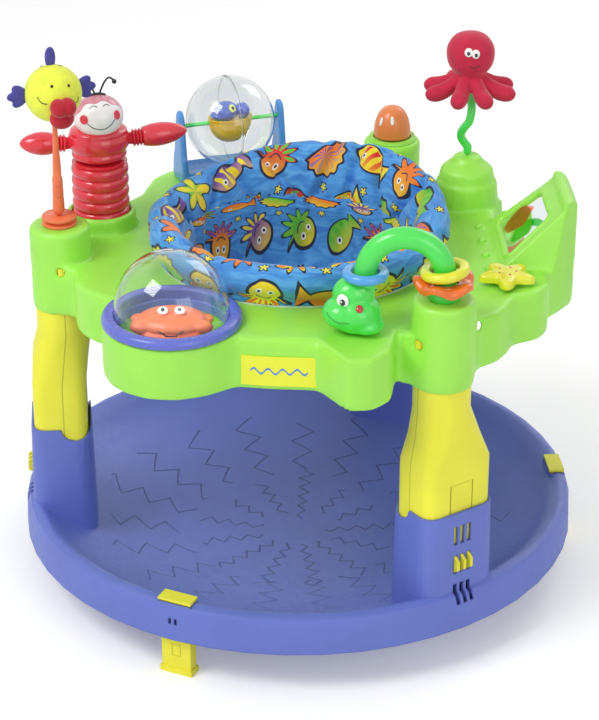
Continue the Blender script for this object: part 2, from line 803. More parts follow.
def outline(inset, height):
    return [spot(tray_reach(360.0 * index / TRAY_SIDES, inset), 360.0 * index / TRAY_SIDES, height)
            for index in range(TRAY_SIDES)]


def hole_ring(reach, height):
    return [spot(reach, 360.0 * index / TRAY_SIDES, height) for index in range(TRAY_SIDES)]


def build_tray():
    lip = DECK - DECK_DISH
    rings = [
        outline(0.0, SKIRT_LOW),
        outline(0.0, DECK - DECK_EDGE),
        outline(DECK_EDGE * 0.3, DECK - DECK_EDGE * 0.3),
        outline(DECK_EDGE, DECK),
        hole_ring(TRAY_HOLE, lip),
        hole_ring(TRAY_HOLE, lip - DECK_WALL),
        outline(DECK_WALL + DECK_EDGE * 0.4, DECK - DECK_WALL),
        outline(DECK_WALL, SKIRT_LOW),
    ]
    tray = make("tray_deck", loft(rings, closed=True), "tray_green")
    for angle in LEG_ANGLES.values():
        join(tray, post(angle))
    join(tray, collar())
    join(tray, mound())
    join(tray, pit_cup())
    join(tray, housing(0.0))
    cut(tray, housing(DECK_WALL))
    cut(tray, mirror_prism(TOUCH, MIRROR_FLOOR, 0.02))
    for along in BUMP_PLACES:
        centre = local(MIRROR_ANGLE, BUMP_REACH, along, DECK - 0.0015)
        join(tray, blob(centre, upright_axes(MIRROR_ANGLE), (BUMP_RADIUS, BUMP_RADIUS, BUMP_RADIUS), 6, 4))
    for angle in LEG_ANGLES.values():
        cut(tray, post_bore(angle))
        reach = POST_RADIUS + 0.02
        peg_half = PEG_HALF_WIDTH + SLIDE_GAP
        cut(tray, block(angle, (POST_REACH - peg_half, POST_REACH + peg_half),
                        (-reach, reach),
                        (PEG_HEIGHT - PEG_HALF_HEIGHT - SLIDE_GAP, PEG_HEIGHT + PEG_HALF_HEIGHT + SLIDE_GAP)))
    pit = spot(*DOME_PLACE, 0.0)
    cut(tray, turned(((PIT_RADIUS, PIT_FLOOR), (PIT_RADIUS, DECK + 0.02)), pit, 20))
    cut(tray, star_prism(STAR_RADIUS + 0.0015, STAR_INNER + 0.0015, DECK - 0.0018, DECK + 0.01))
    cut(tray, turned(((0.0068, DECK - 0.02), (0.0068, DECK + 0.01)), spot(*STAR_PLACE, 0.0), 16))
    cut(tray, mound_hollow())
    soften(tray)
    return tray


def post(angle):
    centre = spot(POST_REACH, angle, 0.0)
    profile = ((POST_RADIUS, SKIRT_LOW - 0.002), (POST_RADIUS, POST_TOP - POST_EDGE),
               (POST_RADIUS - POST_EDGE * 0.3, POST_TOP - POST_EDGE * 0.3),
               (POST_RADIUS - POST_EDGE, POST_TOP))
    return turned(profile, centre, 24)


def post_bore(angle):
    bore = LEG_NECK_RADIUS + SLIDE_GAP
    return loft([box_ring(angle, POST_REACH, bore, bore, bore * 0.5, height, 1.0)
                 for height in (SKIRT_LOW - 0.02, POST_TOP - POST_ROOF)])


def collar():
    """The raised ring that the puppet's bellows stand in."""
    centre = spot(*PUPPET_PLACE, 0.0)
    top = DECK + COLLAR_HEIGHT
    inside = BELLOWS_RADIUS + 0.0010
    profile = ((COLLAR_RADIUS + 0.003, DECK - 0.002), (COLLAR_RADIUS, DECK + 0.005),
               (COLLAR_RADIUS, top - 0.004), (COLLAR_RADIUS - 0.003, top), (inside + 0.001, top),
               (inside, top - 0.002), (inside, DECK - 0.002))
    return turned(profile, centre, 20, closed=True)


def mound_profile():
    base = DECK - 0.002
    return ((0.0455, base), (0.0425, MOUND_TOP - 0.038), (0.0390, MOUND_TOP - 0.034),
            (0.0365, MOUND_TOP - 0.020), (0.0300, MOUND_TOP - 0.0140), (0.0215, MOUND_TOP - 0.0070),
            (0.0185, MOUND_TOP - 0.0015), (0.0150, MOUND_TOP))


def mound():
    """The stepped cone under the octopus."""
    return turned(mound_profile(), spot(*MOUND_PLACE, 0.0), 20)


def mound_hollow():
    profile = ((0.0400, SKIRT_LOW - 0.01), (0.0400, MOUND_TOP - 0.060), (0.0330, MOUND_TOP - 0.030),
               (0.0120, MOUND_TOP - 0.012))
    return turned(profile, spot(*MOUND_PLACE, 0.0), 14)


def pit_cup():
    """The well under the dome toy."""
    centre = spot(*DOME_PLACE, 0.0)
    outside = PIT_RADIUS + PIT_WALL
    return turned(((outside, PIT_FLOOR - PIT_WALL), (outside, DECK - 0.001)), centre, 20)


def slope_point(share, lift=0.0):
    """A point on the mirror's slope in (out, height): 0 is the low edge and 1 the high edge."""
    low = Vector(MIRROR_LOW)
    run = Vector(MIRROR_HIGH) - low
    normal = Vector((-run.y, run.x)).normalized()
    return low + run * share + normal * lift


def housing(wall):
    """The wedge that holds the mirror: outer form at wall 0, its hollow at the wall thickness."""
    lift = FRAME_FLOOR if wall else FRAME_LIFT
    foot = slope_point(-0.17, lift)
    crest = slope_point(1.22, lift)
    ridge = HOUSING_RIDGE - wall
    back = HOUSING_OUT
    low = SKIRT_LOW - 0.02 if wall else SKIRT_LOW + 0.0006
    start = foot.x + wall
    foot_height = foot.y + wall
    profile = ((start, low), (start, foot_height), (crest.x, crest.y), (crest.x + 0.004, ridge),
               (back - 0.0145, ridge), (back - wall, ridge - 0.012), (back - wall, low))
    rings = []
    for side, sign in ((0, 1.0), (1, -1.0)):
        ring = []
        for out, height in profile:
            share = (height - DECK) / (HOUSING_RIDGE - DECK)
            span = HOUSING_LOW_ALONG[side] + (HOUSING_HIGH_ALONG[side] - HOUSING_LOW_ALONG[side]) * share
            ring.append(local(MIRROR_ANGLE, out, span + sign * wall, height))
        rings.append(ring)
    return common(loft(rings), tray_prism(0.0006 + wall * 1.9, SKIRT_LOW - 0.03, HOUSING_RIDGE + 0.03))


def tray_prism(inset, low, high):
    return loft([outline(inset, low), outline(inset, high)])


def mirror_prism(grow, low_lift, high_lift):
    """The mirror's trapezoid on the slope, between two lifts, grown by a margin all round."""
    length = (Vector(MIRROR_HIGH) - Vector(MIRROR_LOW)).length
    rings = []
    for lift in (low_lift, high_lift):
        ring = []
        for share, spans in ((-grow / length, MIRROR_LOW_ALONG), (1.0 + grow / length, MIRROR_HIGH_ALONG)):
            point = slope_point(share, lift)
            ends = (spans[0] - grow, spans[1] + grow)
            if share > 0.5:
                ends = (ends[1], ends[0])
            ring += [local(MIRROR_ANGLE, point.x, along, point.y) for along in ends]
        rings.append(ring)
    return loft(rings)


def build_mirror():
    low = MIRROR_FLOOR + TOUCH
    return make("mirror_panel", mirror_prism(0.0, low, low + MIRROR_THICKNESS), "mirror_silver")


def star_prism(radius, inner, low, high, crown=0.0):
    """A five-pointed star with blunt tips. Crown draws the top in for a rounded upper face."""
    centre = spot(*STAR_PLACE, 0.0)
    levels = [(low, 1.0), (high - crown, 1.0)]
    if crown:
        levels += [(high - crown * 0.35, 0.90), (high, 0.66)]
    rings = []
    for height, scale in levels:
        ring = []
        for index in range(20):
            turn = 2.0 * math.pi * index / 20
            wave = (1.0 + math.cos(5.0 * turn)) / 2.0
            reach = inner + (radius - inner) * wave ** 1.7
            ring.append(centre + Vector((reach * scale * math.cos(turn + STAR_TWIST),
                                         reach * scale * math.sin(turn + STAR_TWIST), height)))
        rings.append(ring)
    return loft(rings)


def build_star():
    holder = body("star", spot(*STAR_PLACE, DECK))
    low = DECK + STAR_TRAVEL + 0.0004
    shape = star_prism(STAR_RADIUS, STAR_INNER, low, low + STAR_HEIGHT, 0.006)
    star = make("star_button", shape, "bead_yellow")
    centre = spot(*STAR_PLACE, 0.0)
    join(star, turned(((0.0060, DECK - 0.012), (0.0060, low + 0.002)), centre, 12))
    knob_top = DECK - DECK_WALL - STAR_TRAVEL - 0.0006
    join(star, turned(((0.0086, DECK - 0.0145), (0.0086, knob_top)), centre, 12))
    soften(star)
    hang(star, holder)


# Dome toy

def build_dome():
    centre = spot(*DOME_PLACE, 0.0)
    holder = body("dome", spot(*DOME_PLACE, DECK))
    base = DECK + TOUCH
    top = base + BEZEL_HEIGHT
    inner = DOME_RADIUS + TOUCH
    sleeve = inner - BEZEL_SHELF
    profile = ((BEZEL_RADIUS, base), (BEZEL_RADIUS, base + 0.005), (BEZEL_RADIUS - 0.003, top - 0.002),
               (BEZEL_RADIUS - 0.0075, top), (inner + 0.0015, top - 0.0015), (inner, top - 0.0045),
               (inner, BEZEL_SEAT), (sleeve, BEZEL_SEAT), (sleeve, BEZEL_SLEEVE_LOW),
               (PIT_RADIUS - BEZEL_GAP, BEZEL_SLEEVE_LOW), (PIT_RADIUS - BEZEL_GAP, base))
    hang(make("dome_bezel", turned(profile, centre, 20, closed=True), "bezel_purple"), holder)
    skin = []
    rows = 5
    for index in range(rows + 1):
        lift = math.pi / 2.0 * index / rows
        skin.append((DOME_RADIUS * math.cos(lift), DOME_CENTRE + DOME_RADIUS * math.sin(lift)))
    inside = DOME_RADIUS - DOME_WALL
    under = []
    for index in range(rows, -1, -1):
        lift = math.pi / 2.0 * index / rows
        under.append((inside * math.cos(lift), DOME_CENTRE + inside * math.sin(lift)))
    skin[-1] = (0.0, skin[-1][1])
    under[0] = (0.0, under[0][1])
    low = BEZEL_SEAT + TOUCH
    profile = [(DOME_RADIUS, low)] + skin + under + [(inside, low)]
    hang(make("dome_shell", turned(profile, centre, 20, closed=True), "clear"), holder)
    build_crab()


def build_crab():
    make("crab_spring", coil(spot(*DOME_PLACE, PIT_FLOOR + TOUCH), CRAB_STEM_RADIUS, 0.0009,
                             CRAB_HEIGHT - CRAB_HALF[2] + CRAB_FLAT - PIT_FLOOR - 2.0 * TOUCH, 4),
         "spring_steel")
    holder = body("crab", spot(*DOME_PLACE, PIT_FLOOR))
    axes = upright_axes(25.0)
    centre = spot(*DOME_PLACE, CRAB_HEIGHT)
    crab = make("crab_body", blob(centre, axes, CRAB_HALF, 14, 8, square=2.6), "crab_orange")
    low = CRAB_HEIGHT - CRAB_HALF[2] + CRAB_FLAT
    cut(crab, turned(((CRAB_HALF[0] * 1.2, low - 0.02), (CRAB_HALF[0] * 1.2, low)),
                     spot(*DOME_PLACE, 0.0), 16))
    for sign in (-1.0, 1.0):
        eye = centre + axes[0] * sign * 0.0115 + axes[1] * 0.006
        crown = eye + Vector((0.0, 0.0, CRAB_HALF[2] + 0.001))
        join(crab, blob(crown, axes, (0.0085, 0.0070, 0.0060), 6, 4))
    soften(crab)
    hang(crab, holder)


def coil(base, radius, wire, height, turns):
    """A small compression spring, open at both ends."""
    steps = turns * 5
    points = []
    for index in range(steps + 1):
        share = index / steps
        turn = 2.0 * math.pi * turns * share
        points.append(base + Vector((radius * math.cos(turn), radius * math.sin(turn),
                                     wire + (height - 2.0 * wire) * share)))
    return swept(points, [wire] * len(points), 4)


# Arch with beads

def arch_line():
    """Feet of the arch: the head's crown and the right post."""
    right = spot(POST_REACH, 60.0, 0.0)
    head = spot(*HEAD_PLACE, 0.0)
    direction = (head - right).normalized()
    middle = right + direction * ARCH_RADIUS
    return right, direction, middle


def build_arch():
    right, direction, middle = arch_line()
    centre = middle + Vector((0.0, 0.0, ARCH_CENTRE))
    points = [right + Vector((0.0, 0.0, POST_TOP + TOUCH))]
    for index in range(12):
        turn = math.pi * index / 11
        points.append(centre - direction * ARCH_RADIUS * math.cos(turn)
                      + Vector((0.0, 0.0, ARCH_RADIUS * math.sin(turn))))
    points.append(middle + direction * ARCH_RADIUS + Vector((0.0, 0.0, HEAD_TOP + TOUCH)))
    tube = make("arch_tube", swept(points, [ARCH_TUBE] * len(points), 10, start=direction), "arch_green")
    join(tube, turned(((ARCH_FLANGE, POST_TOP + TOUCH), (ARCH_FLANGE, WAVE_HEIGHT - 0.0055)), right, 14))
    soften(tube)
    build_head(middle + direction * ARCH_RADIUS)
    side = direction.cross(Vector((0.0, 0.0, 1.0))).normalized()
    build_bead("ring_yellow", YELLOW_RING, centre, -direction, side, YELLOW_LIFT, "bead_yellow")
    build_bead("ring_blue", BLUE_RING, centre, direction, side, 0.0, "bead_blue")
    build_wave(right)


def build_bead(name, sizes, centre, towards, side, lift, finish):
    """A ring round the arch tube, hung on the arch's own centre axis."""
    holder = body(name + "_bead", centre)
    turn = math.radians(lift)
    up = Vector((0.0, 0.0, 1.0))
    place = centre + towards * ARCH_RADIUS * math.cos(turn) + up * ARCH_RADIUS * math.sin(turn)
    axis = -towards * math.sin(turn) + up * math.cos(turn)
    major, minor = sizes
    profile = []
    for index in range(6):
        roll = 2.0 * math.pi * index / 6
        profile.append((major + minor * math.cos(roll), minor * math.sin(roll)))
    hang(make(name, turned(profile, place, 18, axis=axis, closed=True), finish), holder)


def build_wave(right):
    """The scalloped ring that turns on the arch's right leg."""
    holder = body("ring_wave_bead", right + Vector((0.0, 0.0, WAVE_HEIGHT)))
    rings = []
    section = ((0.0, -0.0045), (0.30, -0.0045), (1.0, -0.0040), (1.0, 0.0040), (0.45, 0.0062), (0.0, 0.0045))
    towards_head = arch_line()[1]
    crest = math.atan2(towards_head.y, towards_head.x)
    for share, drop in section:
        ring = []
        for index in range(20):
            turn = 2.0 * math.pi * index / 20
            wave = math.cos(5.0 * (turn - crest))
            reach = WAVE_HOLE + (WAVE_RADIUS + 0.0025 * wave - WAVE_HOLE) * share
            ring.append(right + Vector((reach * math.cos(turn), reach * math.sin(turn),
                                        WAVE_HEIGHT + drop + 0.0035 * wave * share)))
        rings.append(ring)
    hang(make("ring_wave", loft(rings, closed=True), "bead_orange"), holder)


def build_head(arch_foot):
    """The friendly snake-like head that the arch grows from."""
    angle = HEAD_PLACE[1]
    centre = spot(*HEAD_PLACE, 0.0)
    low = DECK - TOUCH
    levels = ((low, 0.0330, 0.0385, 0.0), (low + 0.010, 0.0355, 0.0400, 0.0),
              (low + 0.028, 0.0330, 0.0375, 0.001),
              (low + 0.043, 0.0295, 0.0325, 0.003), (low + 0.057, 0.0265, 0.0285, 0.005),
              (HEAD_TOP, 0.0205, 0.0215, 0.006))
    foot = arch_foot - centre
    shift_out = foot.dot(out_from(angle))
    shift_along = foot.dot(along_from(angle))
    rings = []
    for height, out, along, lean in levels:
        share = lean / 0.006
        rings.append(head_ring(angle, HEAD_PLACE[0] + shift_out * share, out, along, height, 18,
                               shift_along * share))
    head = make("arch_head", loft(rings), "arch_green")
    return head


# Mirror, octopus, puppet, ball, fish, rear button

def ball_foot(centre, low, radius):
    """Points and radii of a stem's round foot, whose middle is the stem's pivot."""
    points = []
    radii = []
    for degrees in (18.0, 45.0, 70.0):
        turn = math.radians(degrees)
        points.append(centre + Vector((0.0, 0.0, low + radius * (1.0 - math.cos(turn)))))
        radii.append(radius * math.sin(turn))
    return points, radii


def build_octopus():
    centre = spot(*MOUND_PLACE, 0.0)
    low = MOUND_TOP + TOUCH
    pivot = low + STEM_RADIUS
    holder = body("octopus", spot(*MOUND_PLACE, pivot))
    across = along_from(25.0)
    deep = out_from(25.0)
    points, radii = ball_foot(centre, low, STEM_RADIUS)
    steps = 13
    high = OCTOPUS_NECK - TOUCH
    for index in range(steps + 1):
        share = index / steps
        turn = 2.0 * math.pi * min(max(share - 0.06, 0.0) / 0.80, 1.0)
        swing = math.sin(turn) * (1.0 if turn < math.pi else STEM_BACK_SHARE)
        points.append(centre - across * STEM_SWING * swing + deep * STEM_SWING * 0.5 * (1.0 - math.cos(turn))
                      + Vector((0.0, 0.0, pivot + (high - pivot) * share)))
        radii.append(STEM_RADIUS)
    hang(make("wavy_stem", swept(points, radii, 8, start=across), "arch_green"), holder)
    top = OCTOPUS_NECK + OCTOPUS_HEIGHT
    profile = ((0.0, OCTOPUS_NECK), (0.0150, OCTOPUS_NECK + 0.001), (0.0205, OCTOPUS_NECK + 0.007),
               (0.0200, OCTOPUS_NECK + 0.015), (0.0225, OCTOPUS_NECK + 0.021), (0.0300, OCTOPUS_NECK + 0.032),
               (0.0330, OCTOPUS_NECK + 0.046), (0.0310, OCTOPUS_NECK + 0.058), (0.0220, OCTOPUS_NECK + 0.070),
               (0.0100, top - 0.0008), (0.0, top))
    head = make("octopus_head", turned(profile, centre, 12), "plush_crimson")
    hang(head, holder)
    for index in range(ARM_COUNT):
        build_arm(index, centre, holder)


def build_arm(index, centre, holder):
    angle = 25.0 + 22.5 + 360.0 * index / ARM_COUNT
    out = out_from(angle)
    points = []
    radii = []
    for step in range(6):
        share = step / 5.0
        droop = 0.004 - 0.020 * share - 0.006 * math.sin(math.pi * share)
        points.append(centre + out * (0.0228 + ARM_ROOT * 0.2 + ARM_LENGTH * share)
                      + Vector((0.0, 0.0, OCTOPUS_NECK + 0.009 + droop)))
        swell = ARM_ROOT + (ARM_TIP - ARM_ROOT) * math.sin(share * math.pi * 0.62)
        radii.append(swell if share < 1.0 else ARM_TIP * 0.35)
    radii[0] = ARM_ROOT * 0.75
    hang(make("octopus_arm_%d" % (index + 1), swept(points, radii, 6), "plush_crimson"), holder)


def build_puppet():
    centre = spot(*PUPPET_PLACE, 0.0)
    up = Vector((0.0, 0.0, 1.0))
    low = DECK + TOUCH
    rib = (BELLOWS_TOP - low - 0.014) / BELLOWS_RIBS
    profile = [(0.0, low), (BELLOWS_NECK, low), (BELLOWS_NECK + 0.001, low + 0.010)]
    start = low + 0.012
    for index in range(BELLOWS_RIBS):
        level = start + rib * index
        profile += [(BELLOWS_NECK, level), (BELLOWS_RADIUS, level + rib * 0.32),
                    (BELLOWS_RADIUS, level + rib * 0.68)]
    profile += [(BELLOWS_NECK, BELLOWS_TOP - 0.001), (0.0, BELLOWS_TOP)]
    make("puppet_bellows", turned(profile, centre, 14), "puppet_red")
    holder = body("puppet", spot(*PUPPET_PLACE, BELLOWS_TOP))
    turn = math.radians(PUPPET_TURN)
    across = Vector((math.cos(turn), math.sin(turn), 0.0))
    facing = Vector((math.sin(turn), -math.cos(turn), 0.0))
    axes = (across, facing, up)
    torso_low = BELLOWS_TOP + TOUCH
    torso = make("puppet_torso", blob(centre + up * (torso_low + 0.024), axes, (0.0420, 0.0350, 0.0240),
                                      14, 7, square=2.5), "puppet_red")
    shoulder = centre + up * (torso_low + 0.0260)
    recess = SHOULDER_BALL + 2.0 * SLIDE_GAP
    for sign in (-1.0, 1.0):
        cut(torso, blob(shoulder + across * sign * SHOULDER_REACH, axes, (recess, recess, recess), 8, 6))
    soften(torso)
    hang(torso, holder)
    head_centre = centre + facing * 0.006 + up * (torso_low + 0.0640)
    head = make("puppet_head", blob(head_centre, axes, (0.0305, 0.0290, 0.0280), 14, 8), "puppet_white")
    cut(head, blob(centre + up * (torso_low + 0.024), axes, (0.0423, 0.0353, 0.0243), 14, 7, square=2.5))
    soften(head)
    hang(head, holder)
    build_antennae(head_centre, across, facing, holder)
    for side, sign, length in (("right", 1.0, 0.0640), ("left", -1.0, 0.0500)):
        build_puppet_arm(side, sign, length, shoulder, across, holder)


def build_antennae(head_centre, across, facing, holder):
    """Two bent feelers with ball tips on one clip over the head."""
    up = Vector((0.0, 0.0, 1.0))
    crown = head_centre + up * (0.0272 + TOUCH + 0.0016) - facing * 0.004
    clip = make("puppet_feelers", swept([crown - across * 0.010 - up * 0.0012, crown - across * 0.004,
                                         crown + across * 0.004, crown + across * 0.010 - up * 0.0012],
                                        [0.0012, 0.0016, 0.0016, 0.0012], 6), "black")
    for sign in (-1.0, 1.0):
        points = []
        for step in range(5):
            share = step / 4.0
            reach = 0.004 + 0.018 * share
            rise = 0.020 * math.sin(math.pi * 0.70 * share)
            points.append(crown + across * sign * reach + up * rise)
        join(clip, swept(points, [0.0014] * 5, 4, start=facing))
        join(clip, blob(points[-1], (across, facing, up), (0.0032, 0.0032, 0.0032), 6, 4))
    soften(clip)
    hang(clip, holder)


def build_puppet_arm(side, sign, length, shoulder, across, holder):
    """A soft arm: a ball in the torso, two ribs and a swelling mitten."""
    up = Vector((0.0, 0.0, 1.0))
    rise = math.radians(PUPPET_ARM_RISE)
    axis = (across * sign * math.cos(rise) + up * math.sin(rise)).normalized()
    place = shoulder + across * sign * SHOULDER_REACH
    arm_body = body("puppet_arm_" + side + "_joint", place)
    ball = SHOULDER_BALL
    profile = [(0.0, -ball), (ball * 0.70, -ball * 0.70), (ball, 0.0), (ball * 0.78, ball * 0.62),
               (0.0062, 0.0085), (0.0118, 0.0105), (0.0090, 0.0130), (0.0118, 0.0155), (0.0094, 0.0180)]
    for share, swell in ((0.14, 0.0125), (0.34, 0.0155), (0.58, 0.0156), (0.80, 0.0125), (0.95, 0.0068)):
        profile.append((swell, 0.0180 + length * share))
    profile.append((0.0, 0.0180 + length))
    arm = make("puppet_arm_" + side, turned(profile, place, 10, axis=axis), "puppet_red")
    arm.data.transform(Matrix.Translation(-place))
    arm_body.location = place - holder.location
    arm_body.parent = holder
    arm.parent = arm_body


def ball_frame():
    return spot(*BALL_PLACE, 0.0), along_from(BALL_ANGLE), out_from(BALL_ANGLE)


def stand_point(out, along, height):
    centre, axle, across = ball_frame()
    return centre + across * out + axle * along + Vector((0.0, 0.0, height))


def stand_block(out, along, low, high, top_out):
    rings = []
    for level, half in ((low, out), (high, top_out)):
        rings.append([stand_point(-half, along[0], level), stand_point(half, along[0], level),
                      stand_point(half, along[1], level), stand_point(-half, along[1], level)])
    return loft(rings)


def upright(span, low):
    """One side of the ball stand: a tapering cheek with a round top, drawn along the axle."""
    shoulder = UPRIGHT_TOP - 0.0125
    outline_points = [(-STAND_HALF_OUT * 0.94, low), (STAND_HALF_OUT * 0.94, low)]
    for index in range(9):
        turn = math.pi * index / 8
        outline_points.append((0.0125 * math.cos(turn), shoulder + 0.0125 * math.sin(turn)))
    return loft([[stand_point(out, along, height) for out, height in outline_points] for along in span])


def build_ball():
    centre, axle, across = ball_frame()
    base = DECK + TOUCH
    edge = UPRIGHT_ALONG + UPRIGHT_HALF_THICK
    inner = UPRIGHT_ALONG - UPRIGHT_HALF_THICK
    foot = stand_block(STAND_HALF_OUT, (-edge, edge), base, base + 0.040, STAND_HALF_OUT * 0.80)
    stand = make("ball_stand", foot,
                 "stand_blue")
    for sign in (-1.0, 1.0):
        join(stand, upright(sorted((sign * inner, sign * (edge - 0.0004))), base + 0.004))
    trough = BALL_RADIUS + 0.0045
    cut(stand, turned(((trough, -inner), (trough, inner)), stand_point(0.0, 0.0, AXLE_HEIGHT), 28, axis=axle))
    hole = AXLE_RADIUS + TOUCH
    bore = ((hole, -edge - 0.01), (hole, edge + 0.01))
    cut(stand, turned(bore, stand_point(0.0, 0.0, AXLE_HEIGHT), 14, axis=axle))
    soften(stand)
    make("ball_axle", turned(((AXLE_RADIUS, -edge + 0.001), (AXLE_RADIUS, edge - 0.001)),
                             stand_point(0.0, 0.0, AXLE_HEIGHT), 14, axis=axle), "arch_green")
    holder = body("ball", stand_point(0.0, 0.0, AXLE_HEIGHT))
    for side, sign in (("left", -1.0), ("right", 1.0)):
        build_ball_half(side, axle * sign, holder)
    build_bird(holder.location, axle, across)


def build_ball_half(side, axis, holder):
    """Half of the clear ball: a shell from the axle bush to the seam, with the seam's raised edge."""
    seam = TOUCH / 2.0
    bore = AXLE_RADIUS + AXLE_GAP
    rows = 5
    outer = []
    inner = []
    inside = BALL_RADIUS - BALL_WALL
    start = math.asin(seam / BALL_RADIUS)
    for index in range(rows + 1):
        lift = start + (math.pi / 2.0 - start) * index / rows
        outer.append((BALL_RADIUS * math.cos(lift), BALL_RADIUS * math.sin(lift)))
        inner.append((inside * math.cos(lift), inside * math.sin(lift)))
    outer[-1] = (bore, BALL_RADIUS)
    inner[-1] = (bore, inside)
    inner[0] = (inside, seam)
    ridge = [(BALL_RADIUS + 0.0009, seam), (BALL_RADIUS + 0.0009, seam + 0.0012)]
    profile = ridge + outer[1:] + list(reversed(inner))
    shell = turned(profile, holder.location.copy(), 12, axis=axis, closed=True)
    hang(make("ball_half_" + side, shell, "clear"), holder)


def build_bird(centre, axle, across):
    """The big-beaked bird that hangs on the axle and stays upright as the ball turns."""
    holder = body("bird", centre)
    up = Vector((0.0, 0.0, 1.0))
    axes = (axle, across, up)
    lift = 0.004
    bird = make("bird_body", blob(centre + up * lift, axes, (0.0330, 0.0230, 0.0350), 14, 8), "bead_yellow")
    cut(bird, loft([[centre + axle * a * 0.05 + across * b * 0.05 + up * z for a, b in
                     ((-1, -1), (1, -1), (1, 1), (-1, 1))] for z in (lift, lift + 0.05)]))
    bore = AXLE_RADIUS + AXLE_GAP
    join(bird, turned(((0.0075, -0.012), (0.0075, 0.012)), centre, 16, axis=axle))
    cut(bird, turned(((bore, -0.05), (bore, 0.05)), centre, 14, axis=axle))
    soften(bird)
    hang(bird, holder)
    wings = make("bird_wings", blob(centre + up * (lift + 0.0003), axes, (0.0290, 0.0190, 0.0210), 14, 6),
                 "plush_purple")
    cut(wings, loft([[centre + axle * a * 0.05 + across * b * 0.05 + up * z for a, b in
                      ((-1, -1), (1, -1), (1, 1), (-1, 1))] for z in (lift - 0.05, lift + 0.0003)]))
    cut(wings, turned(((0.0078, -0.0123), (0.0078, 0.0123)), centre, 16, axis=axle))
    cut(wings, turned(((bore, -0.05), (bore, 0.05)), centre, 14, axis=axle))
    soften(wings)
    hang(wings, holder)


def build_fish():
    post_centre = spot(POST_REACH, -60.0, 0.0)
    up = Vector((0.0, 0.0, 1.0))
    low = POST_TOP + TOUCH
    top = low + SPOOL_HEIGHT
    profile = ((SPOOL_RADIUS, low), (SPOOL_RADIUS, low + 0.0035), (0.0150, low + 0.0045),
               (0.0150, top - 0.0050), (SPOOL_RADIUS, top - 0.0040), (SPOOL_RADIUS, top))
    make("fish_spool", turned(profile, post_centre, 14), "bead_orange")
    stem_low = top + TOUCH
    pivot = stem_low + FISH_STEM_RADIUS
    holder = body("fish", post_centre + up * pivot)
    bottom = FISH_CENTRE - FISH_RADIUS - TOUCH
    run = bottom - pivot
    stem = [(0.0, stem_low)]
    for degrees in (30.0, 60.0, 90.0):
        turn = math.radians(degrees)
        stem.append((FISH_STEM_RADIUS * math.sin(turn), pivot - FISH_STEM_RADIUS * math.cos(turn)))
    stem += [(FISH_STEM_RADIUS * 0.95, pivot + run * 0.30), (FISH_STEM_RADIUS * 0.80, pivot + run * 0.36),
             (FISH_STEM_THIN, pivot + run * 0.70), (FISH_STEM_THIN, bottom)]
    hang(make("fish_stem", turned(stem, post_centre, 10), "bead_orange"), holder)
    centre = post_centre + up * FISH_CENTRE
    facing = out_from(FISH_FACE_ANGLE)
    side = along_from(FISH_FACE_ANGLE)
    body_axes = (side, facing, up)
    hang(make("fish_body", blob(centre, body_axes, (FISH_RADIUS, FISH_RADIUS * 0.93, FISH_RADIUS), 14, 8),
              "plush_yellow"), holder)
    drop = math.radians(FISH_MOUTH_DROP)
    mouth = (facing * math.cos(drop) - up * math.sin(drop)).normalized()
    rise = (up * math.cos(drop) + facing * math.sin(drop)).normalized()
    grown = FISH_RADIUS + TOUCH
    lips = make("fish_lips", blob(centre + mouth * (FISH_RADIUS + 0.003) + rise * 0.0088, (side, mouth, rise),
                                  (0.0140, 0.0120, 0.0092), 8, 5), "plush_crimson")
    join(lips, blob(centre + mouth * (FISH_RADIUS + 0.002) - rise * 0.0086, (side, mouth, rise),
                    (0.0130, 0.0120, 0.0105), 8, 5))
    cut(lips, blob(centre, body_axes, (grown, grown * 0.945, grown), 14, 8))
    soften(lips)
    hang(lips, holder)
    build_fish_fins(centre, side, facing, up, grown, holder)


def build_fish_fins(centre, side, facing, up, grown, holder):
    """A crest and two side fins of three fronds each, all seated on the round body."""
    back = centre - facing * 0.006
    fronds = (-0.6, 0.0, 0.6)
    for name, axis, fan in (("top", up, (0.0,)), ("right", side, fronds), ("left", -side, fronds)):
        tangent = axis.cross(facing).normalized()
        fin = None
        for spread in fan:
            direction = axis * math.cos(spread) + tangent * math.sin(spread)
            across = direction.cross(facing).normalized()
            reach = 0.014 if spread == 0.0 else 0.012
            shape = blob(back + axis * (grown - 0.003) + direction * reach * 0.8, (direction, facing, across),
                         (reach, 0.0042, 0.0072), 7, 5)
            if fin is None:
                fin = make("fish_fin_" + name, shape, "plush_purple")
            else:
                join(fin, shape)
        cut(fin, blob(centre, (side, facing, up), (grown, grown * 0.945, grown), 14, 8))
        soften(fin)
        hang(fin, holder)


